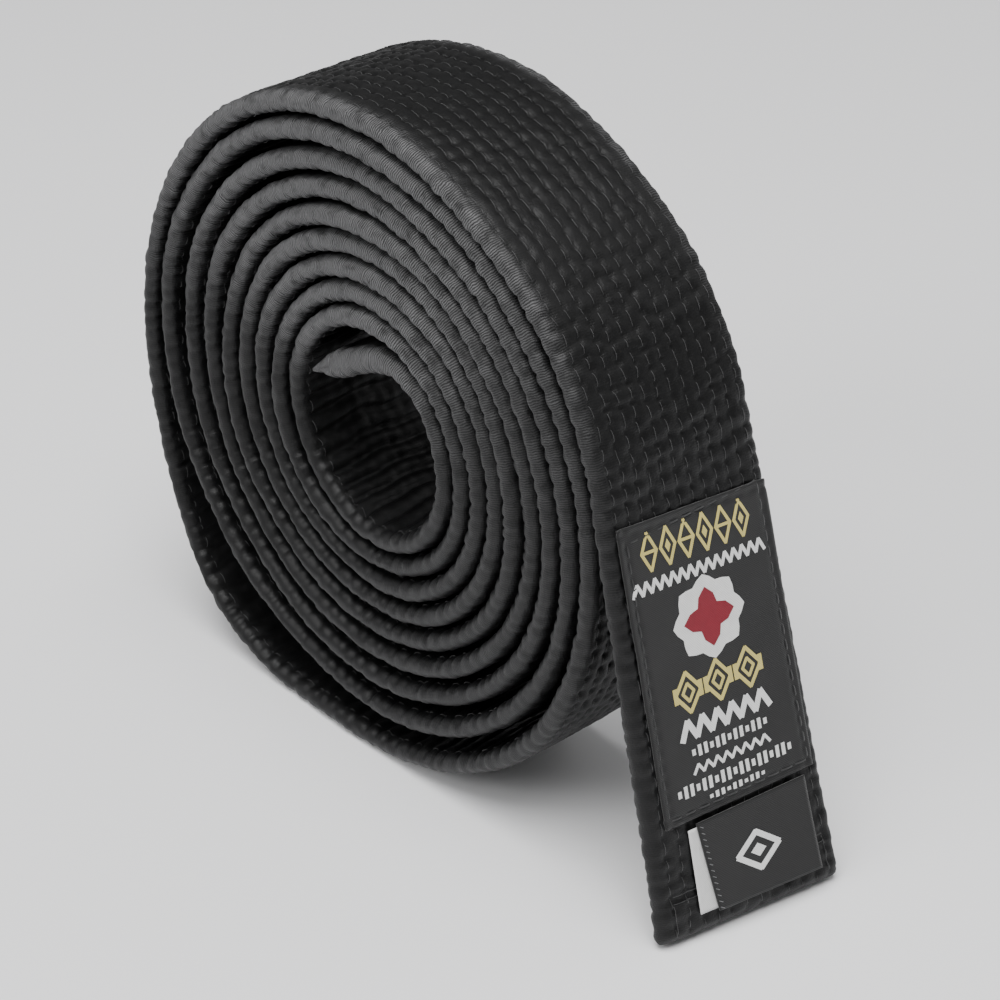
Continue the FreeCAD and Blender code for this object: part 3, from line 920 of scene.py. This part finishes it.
# ------------------------------------------------------------------ label and tags
def flat_cloth(bm, x_range, y_range, step):
    """A flat grid of cloth in belt space."""
    wide, tall = x_range[1] - x_range[0], y_range[1] - y_range[0]
    place = Matrix.Translation(((x_range[0] + x_range[1]) / 2, (y_range[0] + y_range[1]) / 2, 0))
    place = place @ Matrix.Diagonal((wide / 2, tall / 2, 1, 1))
    bmesh.ops.create_grid(bm, x_segments=max(1, round(wide / step)),
                          y_segments=max(1, round(tall / step)), size=1.0, matrix=place)


def thicken(bm, thick):
    """Gives a flat cloth its thickness, upwards from where it lies."""
    faces = list(bm.faces)
    raised = bmesh.ops.extrude_face_region(bm, geom=faces, use_keep_orig=True)["geom"]
    lifted = [item for item in raised if isinstance(item, bmesh.types.BMVert)]
    bmesh.ops.translate(bm, verts=lifted, vec=(0, 0, thick))
    bmesh.ops.recalc_face_normals(bm, faces=bm.faces)


class Pattern:
    """Flat woven figures, assembled from bars, rings and stars in belt space."""

    def __init__(self, shade):
        self.bm = bmesh.new()
        self.shade = shade

    def bar(self, x, y, long, wide, turn=0.0):
        """A straight bar; long runs across the belt when it isn't turned."""
        place = (Matrix.Translation((x, y, 0)) @ Matrix.Rotation(turn, 4, "Z")
                 @ Matrix.Diagonal((wide / 2, long / 2, 1, 1)))
        bmesh.ops.create_grid(self.bm, x_segments=1, y_segments=2, size=1.0, matrix=place)

    def lozenge(self, x, y, wide, tall):
        """A filled diamond."""
        place = Matrix.Translation((x, y, 0)) @ Matrix.Diagonal((tall / 2, wide / 2, 1, 1))
        bmesh.ops.create_circle(self.bm, cap_ends=True, segments=4, radius=1.0, matrix=place)

    def frame(self, x, y, wide, tall, stroke):
        """A diamond outline."""
        slope = math.atan2(tall / 2, wide / 2)
        run = math.hypot(tall / 2, wide / 2) + stroke * 0.4
        for side_x in (-1, 1):
            for side_y in (-1, 1):
                self.bar(x + side_x * tall / 4, y + side_y * wide / 4, run, stroke,
                         side_x * side_y * slope)

    def star(self, x, y, outer, inner, points):
        """A filled star or rosette with blunt points."""
        made = bmesh.ops.create_circle(self.bm, cap_ends=True, segments=points * 4,
                                       radius=outer,
                                       matrix=Matrix.Translation((x, y, 0)))["verts"]
        for vert in made:
            arm = vert.co - Vector((x, y, 0))
            beat = math.cos(math.atan2(arm.y, arm.x) * points)
            arm *= (inner + (outer - inner) * (0.5 + 0.5 * beat)) / outer
            vert.co = Vector((x, y, 0)) + arm

    def chevrons(self, x, y_from, y_to, count, tall, stroke):
        """A row of chevrons across the belt."""
        pitch = (y_to - y_from) / count
        slope = math.atan2(tall - stroke, pitch / 2)
        run = math.hypot(tall - stroke, pitch / 2) + stroke * 0.35
        for index in range(count):
            middle = y_from + pitch * (index + 0.5)
            self.bar(x, middle - pitch / 4, run, stroke, slope)
            self.bar(x, middle + pitch / 4, run, stroke, -slope)

    def dashes(self, x, y_from, y_to, count, tall, share=0.55):
        """A row of upright dashes of uneven height across the belt."""
        pitch = (y_to - y_from) / count
        for index in range(count):
            middle = y_from + pitch * (index + 0.5)
            height = tall if index % 3 else tall * 0.55
            self.bar(x, middle, pitch * share, height)


def gold_pattern():
    """Six small and three large gold lozenge figures."""
    gold = Pattern("gold_figures")
    for index in range(6):
        y = (-12.9 + 26.0 * (index + 0.5) / 6) * MM
        gold.frame(14.8 * MM, y, 3.4 * MM, 7.2 * MM, 0.62 * MM)
        if index % 2:
            gold.lozenge(14.8 * MM, y, 1.3 * MM, 2.6 * MM)
        else:
            gold.bar(14.8 * MM, y, 3.2 * MM, 0.6 * MM)
    for index in range(3):
        y = (-10.9 + 21.4 * (index + 0.5) / 3) * MM
        gold.frame(43.7 * MM, y, 6.0 * MM, 8.0 * MM, 0.75 * MM)
        gold.frame(43.7 * MM, y, 2.6 * MM, 3.6 * MM, 0.6 * MM)
        gold.bar(43.7 * MM, y - 2.9 * MM, 1.0 * MM, 3.2 * MM)
        gold.bar(43.7 * MM, y + 2.9 * MM, 1.0 * MM, 3.2 * MM)
    return gold


def white_pattern():
    """White bands of chevrons and dashes and the rosette's petals."""
    white = Pattern("white_figures")
    white.chevrons(21.2 * MM, -15.6 * MM, 15.2 * MM, 15, 3.0 * MM, 0.7 * MM)
    white.star(31.0 * MM, 0.1 * MM, 8.4 * MM, 7.0 * MM, 8)
    white.chevrons(51.0 * MM, -10.3 * MM, 10.5 * MM, 6, 4.8 * MM, 1.25 * MM)
    white.dashes(55.6 * MM, -9.0 * MM, 9.4 * MM, 13, 2.2 * MM)
    white.chevrons(59.1 * MM, -8.9 * MM, 9.1 * MM, 8, 2.3 * MM, 0.6 * MM)
    white.dashes(62.7 * MM, -13.6 * MM, 14.0 * MM, 19, 2.5 * MM)
    white.dashes(65.6 * MM, -6.6 * MM, 7.0 * MM, 10, 1.3 * MM)
    return white


def crimson_pattern():
    """The rosette's crimson heart."""
    crimson = Pattern("crimson_figures")
    crimson.star(31.0 * MM, 0.1 * MM, 5.9 * MM, 3.2 * MM, 4)
    return crimson


def lift_figures(pattern, name, level, thick, line, slot, shape):
    """Raises flat figures off their ground, lays them on the belt and dresses them."""
    bm = pattern.bm
    for axis, cuts in ((0, range(9, 94, 2)), (1, range(-18, 19, 2))):
        across = Vector((1, 0, 0)) if axis == 0 else Vector((0, 1, 0))
        for cut in cuts:
            bmesh.ops.bisect_plane(bm, geom=bm.verts[:] + bm.edges[:] + bm.faces[:],
                                   plane_co=across * cut * MM, plane_no=across)
    bmesh.ops.translate(bm, verts=bm.verts, vec=(0, 0, level))
    shape(bm)
    thicken(bm, thick)
    piece = new_piece(name, bm, line, smooth=False)
    dress(piece, slot, pattern.shade)
    return piece


def wave_cloth(bm):
    """Lets the label follow the quilting a little, sink at its stitches and lie askew."""
    sizes = label_sizes()
    top, low = sizes.top + sizes.margin, sizes.top + sizes.long - sizes.margin
    near = sizes.side - sizes.wide / 2 + sizes.margin
    far = sizes.side + sizes.wide / 2 - sizes.margin
    for vert in bm.verts:
        x, y = vert.co.x, vert.co.y
        border = min(abs(x - top), abs(x - low), abs(y - near), abs(y - far))
        beat = 0.5 + 0.5 * math.cos((x + y) * 2 * math.pi / (3.1 * MM))
        vert.co.z -= 0.28 * MM * math.exp(-(border / (0.5 * MM)) ** 2) * (0.45 + 0.55 * beat)
        vert.co.z += 0.05 * MM * math.sin(x * 410) * math.sin(y * 330 + 0.7)
        up = max(0.0, (low - x) / sizes.long)
        vert.co.x += sizes.tilt * (y / (sizes.wide / 2)) * up
        vert.co.y *= 1 + sizes.flare * (up - 0.5)


def curl_cloth(bm, root, long, level, curl, spread=0.0):
    """Lays a ribbon at its level; its free end curls away and its root spreads sideways."""
    for vert in bm.verts:
        share = (vert.co.x - root) / long
        if vert.co.y < 0:
            vert.co.y *= 1 + spread * (1 - share)
        wave = 0.5 + 0.5 * math.sin(vert.co.y * 190)
        vert.co.z += level + curl * share ** 2 * (0.6 + 0.4 * wave)


# ------------------------------------------------------------------ operators
class BELT_OT_roll(bpy.types.Operator):
    """Make the wound part of the belt"""

    bl_idname = "belt.roll"
    bl_label = "Wound Belt"

    def execute(self, context):
        line = MiddleLine()
        outer_end = 0.475
        eye_start = line.wound - 0.165
        middle = (outer_end + eye_start) * 0.42
        plan = [
            ("outer_turn", 0.030, outer_end, 0.72 * MM, (58, 30, 12)),
            ("middle_turns", outer_end, middle, 0.8 * MM, (24, 12, 10)),
            ("inner_turns", middle, eye_start, 0.8 * MM, (24, 12, 10)),
            ("eye_turn", eye_start, line.wound - 0.012, 0.75 * MM, (24, 48, 12)),
        ]
        covers = {"outer_turn": "outer_turn", "middle_turns": "inner_turns",
                  "inner_turns": "inner_turns", "eye_turn": "eye_turn"}
        core = ["roll_stitch_rows"] + ["roll_core_layer_%d" % index for index in (1, 2, 3, 4)]
        for name, start, end, step, counts in plan:
            piece = belt_piece(name, line, start, end, step, counts)
            dress(piece, "black_satin", "satin_cloth")
            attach(piece, "roll")
            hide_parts("roll_cover_" + covers[name], *core)
            core = []
        return {"FINISHED"}


class BELT_OT_labelled_end(bpy.types.Operator):
    """Make the labelled end that leans down to the floor"""

    bl_idname = "belt.labelled_end"
    bl_label = "Labelled End"

    def execute(self, context):
        line = MiddleLine()
        tip = (-line.tail, line.half * 0.9, 1.4 * MM, 2.5)
        piece = belt_piece("labelled_end", line, -line.tail, 0.030, 0.68 * MM, (58, 40, 12),
                           (tip,))
        dress(piece, "black_satin", "satin_cloth")
        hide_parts("tail_cover", "tail_stitch_rows",
                    *("tail_core_layer_%d" % index for index in (1, 2, 3, 4)))
        blend_lift(piece)
        return {"FINISHED"}


def blend_lift(piece):
    """Bakes a piece's transform into its mesh."""
    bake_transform(piece)


class BELT_OT_plain_end(bpy.types.Operator):
    """Make the plain end in the eye of the roll"""

    bl_idname = "belt.plain_end"
    bl_label = "Plain End"

    def execute(self, context):
        line = MiddleLine()
        end = line.reach[-1]
        piece = belt_piece("plain_end", line, line.wound - 0.012, end, 0.5 * MM, (30, 30, 14),
                           ((end, 7.0 * MM, 1.2 * MM, 1.35),))
        dress(piece, "black_satin", "satin_cloth")
        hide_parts("inner_end_cover", "inner_end_stitch_rows", "inner_end_seam",
                    *("inner_end_core_layer_%d" % index for index in (1, 2, 3, 4)))
        blend_tongue(piece)
        return {"FINISHED"}


def blend_tongue(piece):
    """Bakes a piece's transform into its mesh."""
    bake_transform(piece)


class BELT_OT_threads(bpy.types.Operator):
    """Sew the lengthwise stitch rows that show"""

    bl_idname = "belt.threads"
    bl_label = "Quilting Threads"

    def execute(self, context):
        line = MiddleLine()
        rows = range(quilt_sizes().rows)
        sides = (0, quilt_sizes().rows - 1)
        outer = row_threads("outer_turn_threads", line, 0.030, 0.475, [(rows, False)])
        inner = row_threads("edge_threads", line, 0.030, line.wound - 0.012,
                            [(sides, True)])
        under = row_threads("wound_edge_threads", line, 0.475, line.wound - 0.012,
                            [(sides, False)])
        for piece in (outer, inner, under):
            dress(piece, "black_thread", "quilting_thread")
            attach(piece, "roll")
        tail = row_threads("labelled_end_threads", line, -line.tail + 1.5 * MM, 0.030,
                           [(rows, False), (sides, True)])
        dress(tail, "black_thread", "quilting_thread")
        blend_lift(tail)
        tongue = row_threads("plain_end_threads", line, line.wound - 0.012,
                             line.reach[-1] - 5 * MM, [(sides, False), (sides, True)])
        dress(tongue, "black_thread", "quilting_thread")
        blend_tongue(tongue)
        return {"FINISHED"}


class BELT_OT_label(bpy.types.Operator):
    """Make the woven label, its figures and its border of stitches"""

    bl_idname = "belt.label"
    bl_label = "Woven Label"

    def execute(self, context):
        line = MiddleLine()
        sizes = label_sizes()
        base = line.half - 0.02 * MM
        bm = bmesh.new()
        flat_cloth(bm, (sizes.top, sizes.top + sizes.long),
                   (sizes.side - sizes.wide / 2, sizes.side + sizes.wide / 2), 0.5 * MM)
        bmesh.ops.translate(bm, verts=bm.verts, vec=(0, 0, base))
        wave_cloth(bm)
        thicken(bm, sizes.thick)
        cloth = new_piece("woven_label_cloth", bm, line)
        dress(cloth, "woven_label", "label_ground")
        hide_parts("woven_label")
        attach(cloth, "free_end")
        level = base + sizes.thick - 0.02 * MM
        for index, (name, pattern) in enumerate((("gold_figures", gold_pattern()),
                                                 ("white_figures", white_pattern()),
                                                 ("crimson_heart", crimson_pattern()))):
            rise = sizes.figure + (0.05 * MM if index == 2 else 0)
            piece = lift_figures(pattern, name, level, rise, line, "woven_label", wave_cloth)
            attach(piece, "free_end")
        stitches = self.border(line, sizes, base + sizes.thick)
        return {"FINISHED"}

    def border(self, line, sizes, level):
        """The stitches that run round inside the label's edge."""
        top, low = sizes.top + sizes.margin, sizes.top + sizes.long - sizes.margin
        near = sizes.side - sizes.wide / 2 + sizes.margin
        far = sizes.side + sizes.wide / 2 - sizes.margin
        corners = [(top, near), (low, near), (low, far), (top, far)]
        bm = bmesh.new()
        for index in range(4):
            seam_thread(bm, corners[index], corners[(index + 1) % 4], level - 0.14 * MM,
                        0.15 * MM, 3.1 * MM)
        bmesh.ops.recalc_face_normals(bm, faces=bm.faces)
        stitches = new_piece("label_border_thread", bm, line)
        dress(stitches, "label_thread", "border_thread")
        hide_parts("label_border_stitches")
        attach(stitches, "free_end")
        return stitches


class BELT_OT_tags(bpy.types.Operator):
    """Make the size tag, the care tag under it and the end seam"""

    bl_idname = "belt.tags"
    bl_label = "Tags and End Seam"

    def execute(self, context):
        line = MiddleLine()
        sizes = label_sizes()
        bend = sizes.top + sizes.long + 1.0 * MM
        level = 2.85 * MM
        tag = self.ribbon("size_tag_ribbon", line, (bend, bend + sizes.tag_long),
                          (sizes.tag_side - sizes.tag_wide / 2,
                           sizes.tag_side + sizes.tag_wide / 2),
                          level, sizes.tag_thick, 0.35 * MM, 0.24)
        dress(tag, "size_tag", "label_ground")
        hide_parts("size_tag")
        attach(tag, "size_tag")
        motif = Pattern("white_figures")
        middle = (bend + 10.5 * MM, 1.9 * MM)
        motif.frame(middle[0], middle[1], 9.2 * MM, 7.6 * MM, 1.15 * MM)
        motif.lozenge(middle[0], middle[1], 3.4 * MM, 2.8 * MM)
        figure = lift_figures(motif, "size_tag_figure", sizes.tag_thick - 0.02 * MM,
                              sizes.figure, line, "size_tag",
                              lambda bm: curl_cloth(bm, bend, sizes.tag_long, level, 0.35 * MM))
        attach(figure, "size_tag")
        sewn = self.tag_edge(line, sizes, bend, level)
        bend += 1.0 * MM
        care = self.ribbon("care_tag_ribbon", line, (bend, bend + sizes.care_long),
                           (sizes.care_side - sizes.care_wide / 2,
                            sizes.care_side + sizes.care_wide / 2),
                           2.45 * MM, sizes.care_thick, 0.15 * MM)
        dress(care, "care_tag", "care_ribbon")
        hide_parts("care_tag")
        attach(care, "care_tag")
        self.end_seam(line, sizes)
        return {"FINISHED"}

    def ribbon(self, name, line, x_range, y_range, level, thick, curl, spread=0.0):
        """A flat ribbon that curls away a little at its free end."""
        bm = bmesh.new()
        flat_cloth(bm, x_range, y_range, 0.6 * MM)
        curl_cloth(bm, x_range[0], x_range[1] - x_range[0], level, curl, spread)
        thicken(bm, thick)
        return new_piece(name, bm, line)

    def tag_edge(self, line, sizes, bend, level):
        """The pale overcast stitches on the size tag's near edge."""
        near = sizes.tag_side - sizes.tag_wide / 2 + 0.7 * MM
        bm = bmesh.new()
        top, low = bend + 0.8 * MM, bend + sizes.tag_long - 0.8 * MM
        count = 14
        for index in range(count):
            x = top + (low - top) * index / (count - 1)
            share = (x - bend) / sizes.tag_long
            y = near * (1 + 0.24 * (1 - share))
            lift = level + sizes.tag_thick + 0.3 * MM * share ** 2
            seam_thread(bm, (x, y - 0.5 * MM), (x + 0.7 * MM, y + 0.5 * MM), lift,
                        0.09 * MM, 1.3 * MM)
        bmesh.ops.recalc_face_normals(bm, faces=bm.faces)
        sewn = new_piece("size_tag_thread", bm, line)
        dress(sewn, "size_tag", "pale_thread")
        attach(sewn, "size_tag")
        return sewn

    def end_seam(self, line, sizes):
        """The cross seam and side seams that close the hem of the labelled end."""
        hem = line.tail - sizes.hem_back
        reach = roll_sizes().width / 2 - 3.2 * MM
        bm = bmesh.new()
        thread = quilt_sizes().thread
        for shift in (-0.8 * MM, 0.8 * MM):
            seam_thread(bm, (hem + shift, -reach), (hem + shift, reach),
                        line.half - 0.06 * MM, thread, 3.0 * MM)
        for side in (-reach, reach):
            seam_thread(bm, (hem + 1.2 * MM, side), (line.tail - 2 * MM, side),
                        line.half - 0.1 * MM, thread, 2.6 * MM)
        bmesh.ops.recalc_face_normals(bm, faces=bm.faces)
        seam = new_piece("end_seam_thread", bm, line)
        dress(seam, "black_thread", "quilting_thread")
        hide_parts("tail_end_seam")
        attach(seam, "free_end")


class BELT_OT_stage(bpy.types.Operator):
    """Make the floor, the lights and the camera"""

    bl_idname = "belt.stage"
    bl_label = "Studio"

    def execute(self, context):
        bm = bmesh.new()
        bmesh.ops.create_grid(bm, x_segments=1, y_segments=1, size=6.0)
        floor = new_piece("studio_floor", bm, smooth=False)
        floor.data.materials.append(material("studio_floor"))
        self.world()
        self.light("top_softbox", (0.25, -0.3, 1.3), 0.9, 28.0)
        self.light("front_softbox", (-0.1, -1.25, 0.9), 0.6, 9.0)
        self.light("back_softbox", (0.5, 1.1, 0.9), 0.9, 3.0)
        self.camera()
        return {"FINISHED"}

    def world(self):
        """An even pale surround."""
        world = bpy.data.worlds.new("studio")
        world.use_nodes = True
        back = world.node_tree.nodes["Background"]
        back.inputs["Color"].default_value = (1.0, 1.0, 1.0, 1.0)
        back.inputs["Strength"].default_value = 0.26
        bpy.context.scene.world = world

    def light(self, name, place, size, power):
        """A square softbox aimed at the roll."""
        data = bpy.data.lights.new(name, "AREA")
        data.shape = "SQUARE"
        data.size = size
        data.energy = power
        lamp = bpy.data.objects.new(name, data)
        aim = Vector((0.03, 0.0, 0.06)) - Vector(place)
        lamp.matrix_world = (Matrix.Translation(place)
                             @ aim.to_track_quat("-Z", "Y").to_matrix().to_4x4())
        bpy.context.collection.objects.link(lamp)

    def camera(self):
        """A long lens from the front right, above."""
        data = bpy.data.cameras.new("camera")
        data.lens = 99.2
        data.sensor_width = 36.0
        camera = bpy.data.objects.new("camera", data)
        right = Vector((0.67120, 0.74126, -0.00520))
        up = Vector((-0.38417, 0.35385, 0.85276))
        back = right.cross(up)
        turn = Matrix((right, up, back)).transposed().to_4x4()
        camera.matrix_world = Matrix.Translation((0.3759, -0.3079, 0.3429)) @ turn
        bpy.context.collection.objects.link(camera)
        bpy.context.scene.camera = camera


class BELT_PT_panel(bpy.types.Panel):
    """Lists the belt's pieces and sizes"""

    bl_idname = "BELT_PT_panel"
    bl_label = "Martial Arts Belt"
    bl_space_type = "VIEW_3D"
    bl_region_type = "UI"
    bl_category = "Belt"

    def draw(self, context):
        for step in STEPS:
            self.layout.operator(step.bl_idname)
        for group in ("belt_roll", "belt_quilt", "belt_label", "belt_colours"):
            values = getattr(context.scene, group)
            box = self.layout.box()
            for key in values.__annotations__:
                box.prop(values, key)


STEPS = (BELT_OT_stage, BELT_OT_roll, BELT_OT_labelled_end, BELT_OT_plain_end,
         BELT_OT_threads, BELT_OT_label, BELT_OT_tags)
GROUPS = (BeltRollSizes, BeltQuiltSizes, BeltLabelSizes, BeltColours)
CLASSES = GROUPS + STEPS + (BELT_PT_panel,)


def register():
    for item in CLASSES:
        bpy.utils.register_class(item)
    scene = bpy.types.Scene
    scene.belt_roll = PointerProperty(type=BeltRollSizes)
    scene.belt_quilt = PointerProperty(type=BeltQuiltSizes)
    scene.belt_label = PointerProperty(type=BeltLabelSizes)
    scene.belt_colours = PointerProperty(type=BeltColours)


def unregister():
    for name in ("belt_roll", "belt_quilt", "belt_label", "belt_colours"):
        delattr(bpy.types.Scene, name)
    for item in reversed(CLASSES):
        bpy.utils.unregister_class(item)


def main():
    register()
    bpy.ops.belt.stage()
    bpy.ops.belt.roll()
    bpy.ops.belt.labelled_end()
    bpy.ops.belt.plain_end()
    bpy.ops.belt.threads()
    bpy.ops.belt.label()
    bpy.ops.belt.tags()


if __name__ == "__main__":
    main()
